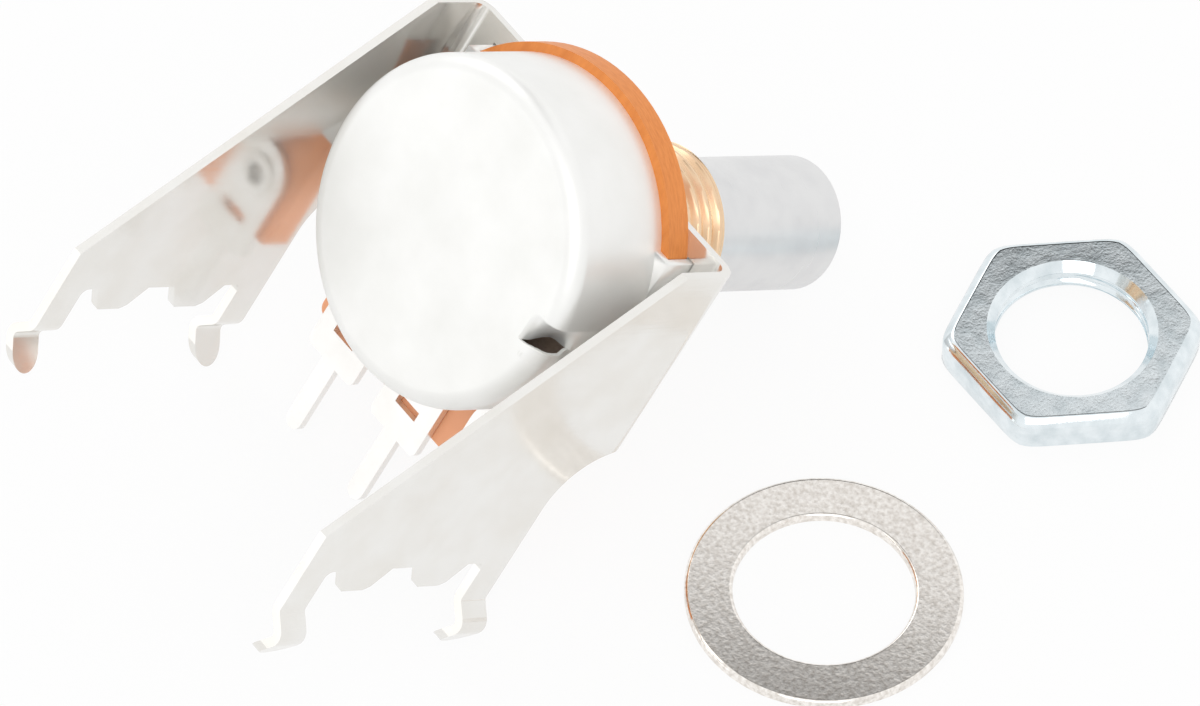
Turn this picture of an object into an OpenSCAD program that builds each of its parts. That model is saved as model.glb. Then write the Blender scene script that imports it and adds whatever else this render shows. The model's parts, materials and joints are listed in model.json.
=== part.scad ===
// Rotary potentiometer on a snap-in bracket, with its mounting nut and washer.
// The potentiometer is drawn in its own axes: the shaft points along +Z, the panel seat is at z = 0
// and the terminals point along -Y. It is then laid down on the tips of its pins and on the edge
// of its shaft, and the nut and the washer lie flat beside it.
// The origin is the centre of the panel seat, on the axis of the shaft. Millimetres.

/* [Shaft] */
// Diameter of the shaft where it takes a knob
shaft_d = 6.35; // [6.1:0.05:6.6]
// Length of the shaft from the panel seat to its tip
shaft_len = 17.5; // [12:0.5:30]
// Bevel round the tip of the shaft
tip_bevel = 0.35; // [0.1:0.05:0.8]
// Diameter of the shaft's journal inside the bushing
journal_d = 6; // [5:0.05:6]
// Clearance all round the journal in the bushing
bore_gap = 0.04; // [0.02:0.01:0.08]
// Gap between the bushing's end and the shaft's wide part
collar_gap = 0.1; // [0.05:0.05:0.5]
// Depth of the groove for the retaining ring
groove_depth = 0.5; // [0.3:0.05:0.8]
// How far the tenon for the rotor is turned down from the journal
tenon_step = 0.8; // [0.6:0.05:1]
// Depth of the two flats on the tenon
tenon_flat = 0.5; // [0.3:0.05:0.7]
// Length of the tenon's riveted head behind the rotor's hub
tenon_head = 0.3; // [0.2:0.05:0.5]

/* [Bushing] */
// Outside diameter of the thread
thread_d = 8; // [7.6:0.1:9]
// Length of the bushing from the panel seat
bushing_len = 8; // [5:0.5:11]
// Bevel at the end of the bushing
bushing_bevel = 0.35; // [0.1:0.05:0.4]
// How far the neck in the front plate is wider than the thread
neck_step = 0.2; // [0.1:0.05:0.3]
// Width of the flange behind the front plate
flange_lip = 0.3; // [0.2:0.05:0.5]
// Thickness of the flange
flange_t = 0.4; // [0.3:0.05:0.5]

/* [Bracket] */
// Thickness of the bracket's sheet
sheet_t = 0.45; // [0.35:0.05:0.6]
// Room between the wafer's flat side and a wing
wing_room = 2.2; // [1.5:0.05:4]
// Radius inside the two folds
bend_r = 0.6; // [0.2:0.05:0.8]
// Front plate above the ears
top_margin = 1.1; // [0.6:0.05:2]
// Front plate below the ears
bottom_margin = 0.3; // [0.2:0.05:0.6]
// Length of a wing's top edge
wing_top = 3.6; // [2:0.1:5]
// Height of a wing's rear corner above the knees
corner_lift = 4.55; // [3.5:0.05:5.5]
// Distance between the middles of the front and rear legs
leg_pitch = 12.4; // [11.5:0.1:13.5]
// Distance of a front leg's front edge behind the panel seat
leg_setback = 3.45; // [2.5:0.05:4.5]
// Width of a leg and its foot
leg_w = 1.7; // [1.3:0.1:2.2]
// Height of the teeth's roots above the knees
root_lift = 2.35; // [2:0.05:3]
// Length of a tooth
tooth_len = 1.25; // [0.8:0.05:1.6]
// Width of a tooth at its root
tooth_w = 3.45; // [3:0.05:3.7]
// Distance from the rear leg to the rear tooth
tooth_rear_room = 0.95; // [0.8:0.05:1.4]
// Distance from the front tooth to the front leg
tooth_front_room = 1.1; // [0.8:0.05:1.4]
// Slope along a tooth's rear side
tooth_rear = 0.75; // [0.3:0.05:0.9]
// Slope along a tooth's front side
tooth_front = 1; // [0.3:0.05:1.1]
// Nip off the corners of a tooth
tooth_nip = 0.2; // [0.1:0.05:0.25]
// Radius of the roots beside the legs
root_r = 0.4; // [0.2:0.05:0.45]
// How far a foot springs outward
foot_out = 1; // [0.5:0.05:1.4]
// Height of the outward stretch of a foot
foot_out_h = 0.95; // [0.6:0.05:1.3]
// Radius of the bends along a foot
foot_bend = 0.5; // [0.3:0.05:0.6]
// How far a foot comes back inward
foot_in = 1.15; // [0.5:0.05:1.5]
// Height of the inward stretch of a foot
foot_in_h = 1.6; // [1.2:0.05:2.2]

/* [Rear cover] */
// Room between the track and the inside of the cover
track_edge = 0.9; // [0.7:0.05:1.2]
// Depth of the cover behind the wafer
cover_depth = 5.9; // [5.6:0.1:8]
// Thickness of the cover's sheet
cover_t = 0.4; // [0.3:0.05:0.5]
// Outer radius of the cover's rear edge
cover_r = 0.9; // [0.6:0.05:1.3]
// Width of each ear
ear_w = 2.6; // [1.8:0.1:2.8]
// Clearance between an ear and the wafer's edge
ear_gap = 0.05; // [0.02:0.01:0.1]
// How far an ear's end stays behind the panel seat
ear_recess = 0.05; // [0.02:0.01:0.2]
// Clearance round an ear in the front plate
slot_gap = 0.1; // [0.05:0.01:0.2]
// How far the terminals' window passes the outer pins' middles
window_side = 1.3; // [1:0.05:1.5]
// Air between the rivets' rims and the edge of the window
window_air = 0.3; // [0.2:0.05:0.6]
// Reach of the pressed-in stop's points along the back and the side
stop_reach = 1.7; // [1.4:0.05:1.9]
// Half the stop's width along the rim
stop_side = 0.9; // [0.7:0.05:1.1]
// Depth of the stop along the bisector of the edge
stop_depth = 2.1; // [1.7:0.05:2.3]
// Width of the slit pierced through the stop
stop_slit_w = 0.6; // [0.4:0.05:0.7]

/* [Wafer] */
// How far the wafer's round part stands out round the cover
wafer_step = 0.45; // [0.3:0.05:0.8]
// Depth of the wafer's two flat sides
wafer_flat = 1.275; // [1:0.025:1.5]
// Thickness of the wafer
wafer_t = 1.35; // [1:0.05:1.8]
// Length of the wafer's skirt below the rivets
skirt_below = 2.65; // [2:0.05:3]
// Radius of the skirt's corners
skirt_r = 0.5; // [0.2:0.1:1]
// Clearance between the bushing's flange and the wafer's hole
hole_gap = 0.2; // [0.1:0.05:0.3]

/* [Tracks] */
// Room between the wafer's hole and the collector ring
ring_edge = 0.2; // [0.1:0.05:0.4]
// Width of the collector ring
ring_w = 0.5; // [0.4:0.05:0.7]
// Room between the collector ring and the track
track_gap = 0.4; // [0.3:0.05:0.7]
// Width of the resistive track
track_w = 1.1; // [0.8:0.05:1.3]
// Thickness of the prints
print_t = 0.05; // [0.03:0.01:0.08]
// Half angle between the ends of the track
track_open = 28; // [24:1:32]
// Angle that each end of the track gives to its pad
pad_angle = 7; // [4:0.5:10]

/* [Terminals] */
// Distance from one terminal to the next
pin_pitch = 5; // [4.6:0.1:5.1]
// Distance of the rivets' middles outside the cover
rivet_below = 0.4; // [0.2:0.05:0.8]
// Width of a terminal's head
head_w = 3.5; // [3:0.1:3.8]
// Distance from the rivets to the shoulders
shoulder_below = 3.9; // [3.5:0.1:5]
// Radius of the shoulders' corners
shoulder_r = 0.35; // [0.2:0.05:0.6]
// Height of the shoulders above the board
shoulder_lift = 1.35; // [1:0.05:2]
// Length of the pins below the top of the board
pin_through = 2.55; // [1.8:0.05:3.5]
// Width of a pin
pin_w = 1; // [0.8:0.05:1.3]
// Thickness of the terminals
term_t = 0.4; // [0.3:0.05:0.5]
// Width of the slot in a head
slot_w = 1.5; // [1:0.1:1.8]
// Height of the slot in a head
slot_h = 0.5; // [0.3:0.05:0.6]
// Distance from the rivets to the slots
slot_below = 2.25; // [2.1:0.05:2.5]
// Diameter of the hollow rivets' shanks
rivet_d = 1.5; // [1.2:0.05:1.6]
// Wall of the hollow rivets
rivet_wall = 0.3; // [0.2:0.05:0.4]
// Width of the rivets' rims
rivet_lip = 0.35; // [0.2:0.05:0.4]
// Thickness of the rivets' rims
rivet_rim = 0.25; // [0.2:0.05:0.3]

/* [Rotor] */
// Whole travel of the shaft in degrees
travel = 300; // [270:5:305]
// Room between the wafer and the rotor
wiper_room = 1.1; // [1:0.05:1.3]
// Thickness of the rotor's disc
rotor_t = 1.4; // [1:0.1:1.6]
// Clearance between the rotor and the cover's wall
rotor_gap = 0.5; // [0.35:0.05:0.8]
// Wall of the rotor's hub round the tenon
hub_wall = 2.3; // [1.5:0.1:2.5]
// Height of the hub behind the disc
hub_h = 0.9; // [0.5:0.1:1.1]
// Radial width of the stop lug
lug_w = 1.2; // [0.9:0.05:1.4]
// Clearance between the lug and the cover's rear wall
lug_gap = 0.35; // [0.3:0.05:0.5]
// Thickness of the retaining ring
clip_t = 0.45; // [0.3:0.05:0.55]
// End play of the retaining ring
end_play = 0.1; // [0.05:0.01:0.15]
// Side play of the retaining ring in its groove
clip_play = 0.03; // [0.01:0.01:0.05]
// Radial width of the retaining ring
clip_w = 1.4; // [1.2:0.05:1.5]
// Thickness of the wiper's spring sheet
wiper_t = 0.15; // [0.1:0.01:0.2]
// Clearance between the wiper's sheet and the shaft
wiper_hole_gap = 0.25; // [0.1:0.05:0.4]
// Clearance between the wiper's tips and the prints
wiper_gap = 0.05; // [0.03:0.01:0.1]
// Width of each of the wiper's fingers
finger_w = 0.5; // [0.3:0.05:0.6]
// Length of a finger's slope
finger_len = 2.6; // [2:0.1:3]
// Length of a finger's flat root
finger_root = 0.6; // [0.4:0.05:0.8]
// Length of a finger's flat tip
finger_tip = 0.5; // [0.3:0.05:0.8]
// Width of the wiper's arm
arm_w = 1; // [0.7:0.05:1.3]

/* [Nut and washer] */
// Distance across the flats of the nut
nut_af = 11; // [10:0.1:12]
// Thickness of the nut
nut_h = 1.8; // [1.4:0.1:3]
// Height of the bevel round the nut's top
nut_bevel = 0.4; // [0.2:0.05:0.5]
// Width of the bevel round the nut's top
nut_bevel_w = 0.32; // [0.2:0.02:0.5]
// How far the nut's corners are rounded off
nut_round = 0.2; // [0.1:0.05:0.5]
// Depth of the nut's thread
nut_thread = 0.36; // [0.3:0.01:0.45]
// How far the mouths of the nut's bore pass its thread
nut_mouth = 0.05; // [0.02:0.01:0.2]
// Width of the washer's rim
washer_rim = 2.25; // [1.5:0.05:3]
// Clearance between the thread and the washer
washer_gap = 0.25; // [0.1:0.05:0.4]
// Thickness of the washer
washer_t = 0.45; // [0.3:0.05:0.8]
// Place of the nut beside the potentiometer
nut_x = -12.2; // [-16:0.1:-11]
// Place of the nut ahead of the panel seat
nut_y = -21.7; // [-28:0.1:-21]
// Place of the washer beside the potentiometer
washer_x = -17; // [-20:0.1:-16.9]
// Place of the washer ahead of the panel seat
washer_y = -3.7; // [-8:0.1:0]
// Turn of the nut about its own axis
nut_turn = 0; // [0:1:59]

/* [Hidden] */
$fn = 96;

// Overlap of a cut past the face that it opens
cut = 1;

// Straight steps that make up one bend of a foot
bend_steps = 5;

// Stations along the axis, from the panel seat backwards
z_wafer = -sheet_t;
z_print = z_wafer - wafer_t;
z_term = z_print - print_t;
z_flange = z_wafer - flange_t;
z_clip = z_flange - end_play - clip_t;
z_rotor = z_print - wiper_room;
z_disc = z_rotor - rotor_t;
z_hub = z_disc - hub_h;
z_back = z_print - cover_depth;

// Radii, from the shaft outward to the wafer and the wings
shaft_r = shaft_d / 2;
journal_r = journal_d / 2;
bore_r = journal_r + bore_gap;
thread_r = thread_d / 2;
neck_r = thread_r + neck_step;
flange_r = neck_r + flange_lip;
hole_r = flange_r + hole_gap;
ring_r = hole_r + ring_edge;
track_r = ring_r + ring_w + track_gap;
cover_in = track_r + track_w + track_edge;
cover_out = cover_in + cover_t;
wafer_r = cover_out + wafer_step;
wafer_half = wafer_r - wafer_flat;
wing_in = wafer_half + wing_room;
wing_out = wing_in + sheet_t;
fold_r = bend_r + sheet_t;
ear_in = wafer_half + ear_gap;
ear_top = sqrt(pow(wafer_r, 2) - pow(wafer_half, 2));
plate_top = ear_top + top_margin;
plate_bottom = ear_top + bottom_margin;
clip_in = journal_r - groove_depth;
tenon_r = journal_r - tenon_step;
hub_r = tenon_r + hub_wall;
rotor_r = cover_in - rotor_gap;

// Depths below the axis, from the rivets down to the board and the tips of pins and feet
rivet_drop = cover_out + rivet_below;
slot_drop = rivet_drop + slot_below;
skirt_drop = rivet_drop + skirt_below;
shoulder_drop = rivet_drop + shoulder_below;
knee_drop = shoulder_drop + shoulder_lift;
pin_drop = knee_drop + pin_through;
corner_drop = knee_drop - corner_lift;
tooth_root = knee_drop - root_lift;
foot_tip = knee_drop + foot_out_h + foot_in_h;
tip_r = leg_w / 2;

// Places along the wings
leg_rear = leg_setback + leg_w + leg_pitch;
tooth_start = leg_rear - leg_w - tooth_rear_room;
tooth_pitch = leg_pitch - leg_w - tooth_rear_room - tooth_w - tooth_front_room;

// It leans on the edge of the shaft and on whichever reaches the floor first: the pins or the feet
edge_z = shaft_len - tip_bevel;
pin_lean = atan2(pin_drop - shaft_r, edge_z - z_term);
foot_y = foot_tip - tip_r - shaft_r;
foot_z = edge_z + leg_setback + tip_r;
foot_lean = atan2(foot_y, foot_z) + asin(tip_r / norm([foot_y, foot_z]));
tilt = max(pin_lean, foot_lean);
floor_drop = shaft_r * cos(tilt) + edge_z * sin(tilt);

// Half angles at the stop: what the dent takes, and what is left of the circle for the lug
stop_mid_r = rotor_r - lug_w / 2;
stop_half = asin(stop_side * 1.1 / stop_mid_r);
stop_air = 2;
lug_half = (360 - travel) / 2 - stop_half - stop_air;

module lay_down() {
    rotate([90 + tilt, 0, 0])
        children();
}

module on_floor(x, y) {
    translate([x, y, -floor_drop])
        children();
}

// Concave corner filler for two straight edges that meet at the origin
module fillet(r) {
    difference() {
        square(r);
        translate([r, r])
            circle(r, $fn = 48);
    }
}

// Side view of the bracket: x is the distance along the shaft's axis, y the height
module wing_outline() {
    difference() {
        polygon([
            [0, plate_top],
            [-wing_top, plate_top],
            [-leg_rear, -corner_drop],
            [-leg_rear, -knee_drop + foot_bend],
            [0, -knee_drop + foot_bend]
        ]);
        front_recess();
        comb_cut();
    }
}

// The wing's front edge falls back from the front plate along a quarter circle to the front leg
module front_recess() {
    recess_y = -plate_bottom - leg_setback;
    translate([0, recess_y])
        circle(leg_setback);
    translate([-leg_setback, -knee_drop - cut])
        square([leg_setback + cut, knee_drop + cut + recess_y]);
}

// Everything between the two legs below the teeth's roots, less the teeth
module comb_cut() {
    back = -leg_rear + leg_w;
    front = -leg_setback - leg_w;
    difference() {
        translate([back, -knee_drop - cut])
            square([front - back, knee_drop + cut - tooth_root]);
        for (k = [0, 1])
            translate([-tooth_start + k * tooth_pitch, -tooth_root])
                tooth();
        translate([back, -tooth_root])
            mirror([0, 1])
                fillet(root_r);
        translate([front, -tooth_root])
            mirror([1, 0])
                mirror([0, 1])
                    fillet(root_r);
    }
}

module tooth() {
    nip = tooth_nip;
    polygon([
        [0, cut],
        [0, 0],
        [tooth_rear - nip / 4, -tooth_len + nip / 2],
        [tooth_rear + nip / 4, -tooth_len],
        [tooth_w - tooth_front - nip, -tooth_len],
        [tooth_w - tooth_front + nip, -tooth_len + nip],
        [tooth_w, 0],
        [tooth_w, cut]
    ]);
}

// Section of the folded sheet across the wings: x across, y along the shaft's axis
module fold_section() {
    depth = leg_rear + cut;
    difference() {
        folded_block(wing_out, fold_r, 0, depth);
        folded_block(wing_in, bend_r, sheet_t, depth + cut);
    }
}

module folded_block(half, r, back, depth) {
    translate([-half, -depth])
        square([2 * half, depth - back - r]);
    translate([-half + r, -back - 2 * r])
        square([2 * half - 2 * r, 2 * r]);
    for (s = [-1, 1])
        translate([s * (half - r), -back - r])
            circle(r);
}

// One foot: the sheet springs outward and comes back to a round tip
module foot() {
    h = sheet_t / 2;
    toe = [-foot_in, -foot_in_h];
    knee = [wing_out - h, -knee_drop];
    elbow = knee + [foot_out, -foot_out_h];
    hip = knee + [0, foot_bend + cut / 2];
    tip = elbow + toe * (1 + h / norm(toe));
    path = concat([hip], bend_points(hip, knee, elbow), bend_points(knee, elbow, tip), [tip]);
    last = len(path) - 1;
    intersection() {
        linear_extrude(leg_w)
            polygon(concat(
                [for (k = [0 : last]) path[k] + h * side_at(path, k)],
                [for (k = [last : -1 : 0]) path[k] - h * side_at(path, k)]
            ));
        translate([0, 0, leg_w / 2])
            rotate([0, 90, 0])
                foot_profile();
    }
}

module foot_profile() {
    linear_extrude(2 * wing_out) {
        translate([0, -foot_tip + tip_r])
            circle(tip_r);
        translate([-tip_r, -foot_tip + tip_r])
            square([leg_w, foot_tip - knee_drop]);
    }
}

function unit(v) = v / norm(v);
function side_of(v) = [-v[1], v[0]] / norm(v);
function mitre(a, b) = (a + b) / (1 + a * b);

// Sideways direction at a point of a path, along the mitre where the path turns
function side_at(path, k) =
    let (last = len(path) - 1,
        before = side_of(path[max(k, 1)] - path[max(k, 1) - 1]),
        after = side_of(path[min(k, last - 1) + 1] - path[min(k, last - 1)]))
    mitre(before, after);

// Points of the arc that rounds the turn at b on the way from a to c
function bend_points(a, b, c) =
    let (in = unit(b - a), out = unit(c - b),
        turn = acos(in * out),
        reach = foot_bend * tan(turn / 2),
        middle = b - in * reach + foot_bend * side_of(in) * sign(cross(in, out)),
        from = atan2(b[1] - in[1] * reach - middle[1], b[0] - in[0] * reach - middle[0]))
    [for (k = [0 : bend_steps])
        let (a1 = from + sign(cross(in, out)) * turn * k / bend_steps)
        middle + foot_bend * [cos(a1), sin(a1)]];

module bracket() {
    color("silver")
        lay_down()
            difference() {
                union() {
                    folded_sheet();
                    for (s = [0, 1])
                        mirror([s, 0, 0])
                            for (z = [-leg_setback - leg_w, -leg_rear])
                                translate([0, 0, z])
                                    foot();
                }
                translate([0, 0, -sheet_t - cut])
                    cylinder(r = neck_r, h = sheet_t + 2 * cut);
                ear_places()
                    translate([-slot_gap / 2, -slot_gap, -sheet_t - cut])
                        cube([cover_t + slot_gap, ear_w + 2 * slot_gap, sheet_t + 2 * cut]);
            }
}

module folded_sheet() {
    intersection() {
        translate([0, plate_top, 0])
            rotate([90, 0, 0])
                linear_extrude(plate_top + knee_drop)
                    fold_section();
        rotate([0, -90, 0])
            translate([0, 0, -wing_out - cut])
                linear_extrude(2 * wing_out + 2 * cut)
                    wing_outline();
    }
}

// The four ears: two each side of the cover, against the wafer's flats
module ear_places() {
    for (sx = [0, 1])
        mirror([sx, 0, 0])
            for (sy = [0, 1])
                mirror([0, sy, 0])
                    translate([ear_in, ear_top - ear_w, 0])
                        children();
}

module bushing() {
    color("peru")
        lay_down()
            rotate_extrude()
                polygon([
                    [bore_r, z_flange],
                    [flange_r, z_flange],
                    [flange_r, z_wafer],
                    [neck_r, z_wafer],
                    [neck_r, 0],
                    [thread_r, 0],
                    [thread_r, bushing_len - bushing_bevel],
                    [thread_r - bushing_bevel, bushing_len],
                    [bore_r, bushing_len]
                ]);
}

// Half section of a cup with a rounded rear edge
module cup_section(r, back, round) {
    difference() {
        translate([0, back])
            square([r, z_print - back]);
        translate([r - round, back])
            mirror([0, 1])
                translate([0, -round])
                    fillet_corner(round);
    }
}

module fillet_corner(r) {
    difference() {
        square(r + cut);
        circle(r);
    }
}

module cup(r, back, round) {
    rotate_extrude()
        cup_section(r, back, round);
}

// Turns its children so that z runs inward from the cover's rear edge, at the middle of the stop
module at_stop(depth) {
    translate([-cover_out, 0, z_back])
        rotate([0, 45, 0])
            translate([0, 0, depth])
                children();
}

// The pressed-in stop: its sides run from a four-pointed mouth on the cover to one deep point
module stop_dent() {
    spread = stop_reach / sqrt(2);
    deep = [0, -stop_side * 0.72, stop_depth];
    quarter = [
        [spread, stop_side, spread],
        [spread / 2, stop_side * 0.88, spread / 2],
        [0, stop_side * 1.1, cover_r * (sqrt(2) - 1)],
        [-spread / 2, stop_side * 0.88, spread / 2],
        [-spread, stop_side, spread],
        [-spread * 0.92, 0, spread * 0.92]
    ];
    mouth = concat(quarter, [for (p = quarter) [-p[0], -p[1], p[2]]]);
    n = len(mouth);
    polyhedron(
        points = concat([for (p = mouth) deep + 2 * (p - deep)], [deep, [0, 0, -2 * stop_depth]]),
        faces = concat(
            [for (k = [0 : n - 1]) [(k + 1) % n, k, n]],
            [for (k = [0 : n - 1]) [k, (k + 1) % n, n + 1]])
    );
}

module rear_cover() {
    color("gainsboro")
        lay_down()
            difference() {
                union() {
                    difference() {
                        cup(cover_out, z_back, cover_r);
                        cup_hollow();
                    }
                    intersection() {
                        cup(cover_out, z_back, cover_r);
                        at_stop(1.4 * cover_t)
                            stop_dent();
                    }
                    ears();
                }
                at_stop(0) {
                    stop_dent();
                    stop_slit();
                }
                terminal_window();
            }
}

module cup_hollow() {
    cup(cover_in, z_back + cover_t, cover_r - cover_t);
    translate([0, 0, z_print - cut / 2])
        cylinder(r = cover_in, h = cut);
}

// The lens-shaped slit that the punch tears through the lower half of the stop
module stop_slit() {
    half = 0.92 * stop_reach / sqrt(2);
    r = (pow(half, 2) + pow(stop_slit_w / 2, 2)) / stop_slit_w;
    translate([0, -stop_side * 0.7, 0])
        linear_extrude(stop_depth + 2 * cover_t)
            intersection() {
                translate([0, r - stop_slit_w / 2])
                    circle(r);
                translate([0, stop_slit_w / 2 - r])
                    circle(r);
            }
}

module terminal_window() {
    half = pin_pitch + window_side;
    high = print_t + term_t + rivet_rim + window_air;
    translate([-half, -2 * cover_out, z_print - high])
        cube([2 * half, 2 * cover_out - ear_top - slot_gap, high + cut]);
}

module ears() {
    ear_places() {
        translate([0, 0, z_print - cover_t])
            cube([cover_t, ear_w, -z_print + cover_t - ear_recess]);
        difference() {
            translate([-ear_in, 0, z_print - cover_t])
                cube([ear_in + cover_t, ear_w, cover_t]);
            translate([-ear_in, -ear_top + ear_w, z_print - cover_t - cut])
                cylinder(r = cover_in, h = cover_t + 2 * cut);
        }
    }
}

module wafer_outline() {
    intersection() {
        union() {
            circle(wafer_r);
            translate([-wafer_half, -skirt_drop + skirt_r])
                square([2 * wafer_half, skirt_drop - skirt_r]);
            translate([-wafer_half + skirt_r, -skirt_drop])
                square([2 * wafer_half - 2 * skirt_r, skirt_r * 2]);
            for (s = [-1, 1])
                translate([s * (wafer_half - skirt_r), -skirt_drop + skirt_r])
                    circle(skirt_r);
        }
        translate([-wafer_half, -skirt_drop])
            square([2 * wafer_half, skirt_drop + 2 * wafer_r]);
    }
}

module wafer() {
    color("sienna")
        lay_down()
            translate([0, 0, z_print])
                linear_extrude(wafer_t)
                    difference() {
                        wafer_outline();
                        circle(hole_r);
                        rivet_places()
                            circle(d = rivet_d);
                    }
}

module rivet_places() {
    for (x = [-pin_pitch, 0, pin_pitch])
        translate([x, -rivet_drop])
            children();
}

// A ring sector that leaves out a half angle each side of straight down
module open_ring(r, w, open) {
    difference() {
        circle(r + w);
        circle(r);
        polygon([
            [0, 0],
            4 * r * [-sin(open), -cos(open)],
            [0, -6 * r],
            4 * r * [sin(open), -cos(open)]
        ]);
    }
}

module printed() {
    lay_down()
        translate([0, 0, z_term])
            linear_extrude(print_t)
                children();
}

module resistive_track() {
    color("black")
        printed()
            open_ring(track_r, track_w, track_open);
}

// An end pad: the last few degrees of the ring, a strap and an eye round the rivet
module end_pad() {
    foot_a = track_open - pad_angle / 2;
    start = (track_r + track_w / 2) * [sin(foot_a), -cos(foot_a)];
    finish = [pin_pitch, -rivet_drop];
    run = finish - start;
    difference() {
        union() {
            intersection() {
                open_ring(track_r, track_w, track_open - pad_angle);
                polygon([
                    [0, 0],
                    4 * track_r * [sin(track_open - pad_angle), -cos(track_open - pad_angle)],
                    4 * track_r * [sin(track_open), -cos(track_open)]
                ]);
            }
            translate(start)
                rotate([0, 0, atan2(run[1], run[0])])
                    translate([0, -track_w / 4])
                        square([norm(run), track_w / 2]);
            translate(finish)
                circle(d = rivet_d + track_w);
        }
        translate(finish)
            circle(d = rivet_d);
        difference() {
            circle(4 * track_r);
            circle(track_r);
            end_pad_keep();
        }
    }
}

// The side of the pad that lies past the end of the track
module end_pad_keep() {
    polygon([
        [0, 0],
        6 * track_r * [sin(track_open), -cos(track_open)],
        [0, -8 * track_r]
    ]);
    translate([track_r * sin(track_open), -skirt_drop])
        square([2 * pin_pitch, skirt_drop - track_r - track_w]);
}

module conductor_right() {
    color("lightgray")
        printed()
            end_pad();
}

module conductor_left() {
    color("lightgray")
        printed()
            mirror([1, 0])
                end_pad();
}

module conductor_middle() {
    color("lightgray")
        printed()
            difference() {
                union() {
                    difference() {
                        circle(ring_r + ring_w);
                        circle(ring_r);
                    }
                    translate([-ring_w / 2, -rivet_drop])
                        square([ring_w, rivet_drop - ring_r - ring_w / 2]);
                    translate([0, -rivet_drop])
                        circle(d = rivet_d + track_w);
                }
                translate([0, -rivet_drop])
                    circle(d = rivet_d);
            }
}

module terminal_outline() {
    head_r = head_w / 2;
    difference() {
        union() {
            translate([0, -rivet_drop])
                circle(head_r);
            translate([-head_r, -shoulder_drop + shoulder_r])
                square([head_w, shoulder_drop - shoulder_r - rivet_drop]);
            translate([-head_r + shoulder_r, -shoulder_drop])
                square([head_w - 2 * shoulder_r, 2 * shoulder_r]);
            for (s = [-1, 1])
                translate([s * (head_r - shoulder_r), -shoulder_drop + shoulder_r])
                    circle(shoulder_r);
            translate([-pin_w / 2, -pin_drop + pin_w / 2])
                square([pin_w, pin_drop - shoulder_drop]);
            translate([0, -pin_drop + pin_w / 2])
                circle(d = pin_w);
        }
        translate([0, -rivet_drop])
            circle(d = rivet_d);
        translate([-slot_w / 2, -slot_drop - slot_h / 2])
            square([slot_w, slot_h]);
    }
}

module terminal(x) {
    color("gainsboro")
        lay_down()
            translate([x, 0, z_term - term_t])
                linear_extrude(term_t)
                    terminal_outline();
}

module terminal_left() {
    terminal(-pin_pitch);
}

module terminal_middle() {
    terminal(0);
}

module terminal_right() {
    terminal(pin_pitch);
}

module rivet(x) {
    shank_r = rivet_d / 2;
    rim_r = shank_r + rivet_lip;
    z_head = z_term - term_t;
    color("lightgray")
        lay_down()
            translate([x, -rivet_drop, 0])
                rotate_extrude($fn = 48)
                    polygon([
                        [shank_r - rivet_wall, z_head - rivet_rim],
                        [rim_r, z_head - rivet_rim],
                        [rim_r, z_head],
                        [shank_r, z_head],
                        [shank_r, z_wafer],
                        [rim_r, z_wafer],
                        [rim_r, z_wafer + rivet_rim],
                        [shank_r - rivet_wall, z_wafer + rivet_rim]
                    ]);
}

module rivet_left() {
    rivet(-pin_pitch);
}

module rivet_middle() {
    rivet(0);
}

module rivet_right() {
    rivet(pin_pitch);
}

// The shaft with its groove, its shoulder and the flatted tenon that is swaged behind the hub
module shaft() {
    groove_z = z_clip - clip_play;
    groove_w = clip_t + 2 * clip_play;
    color("darkgray")
        lay_down() {
            rotate_extrude()
                polygon([
                    [0, z_rotor],
                    [journal_r, z_rotor],
                    [journal_r, groove_z],
                    [clip_in, groove_z],
                    [clip_in, groove_z + groove_w],
                    [journal_r, groove_z + groove_w],
                    [journal_r, bushing_len + collar_gap],
                    [shaft_r, bushing_len + collar_gap],
                    [shaft_r, shaft_len - tip_bevel],
                    [shaft_r - tip_bevel, shaft_len],
                    [0, shaft_len]
                ]);
            translate([0, 0, z_hub - tenon_head])
                linear_extrude(z_rotor - z_hub + tenon_head + clip_t)
                    tenon_section();
            translate([0, 0, z_hub - tenon_head])
                cylinder(r = tenon_r, h = tenon_head);
        }
}

// The tenon is round with two flats, so that the rotor turns with the shaft
module tenon_section() {
    intersection() {
        circle(tenon_r);
        translate([-tenon_r, -tenon_r + tenon_flat])
            square([2 * tenon_r, 2 * (tenon_r - tenon_flat)]);
    }
}

module rotor() {
    color("dimgray")
        lay_down()
            difference() {
                union() {
                    translate([0, 0, z_disc])
                        cylinder(r = rotor_r, h = rotor_t);
                    translate([0, 0, z_hub])
                        cylinder(r = hub_r, h = hub_h + rotor_t / 2);
                    stop_lug();
                }
                translate([0, 0, z_hub - cut])
                    linear_extrude(z_rotor - z_hub + 2 * cut)
                        tenon_section();
            }
}

// The lug behind the disc that meets the pressed-in stop at both ends of the travel
module stop_lug() {
    z_lug = z_back + cover_t + lug_gap;
    intersection() {
        difference() {
            translate([0, 0, z_lug])
                cylinder(r = rotor_r, h = z_disc - z_lug + rotor_t / 2);
            translate([0, 0, z_lug - cut])
                cylinder(r = rotor_r - lug_w, h = z_disc - z_lug + rotor_t + cut);
        }
        translate([0, 0, z_lug - cut])
            linear_extrude(z_disc - z_lug + rotor_t + cut)
                polygon([
                    [0, 0],
                    2 * rotor_r * [cos(lug_half), -sin(lug_half)],
                    [2.4 * rotor_r, 0],
                    2 * rotor_r * [cos(lug_half), sin(lug_half)]
                ]);
    }
}

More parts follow.
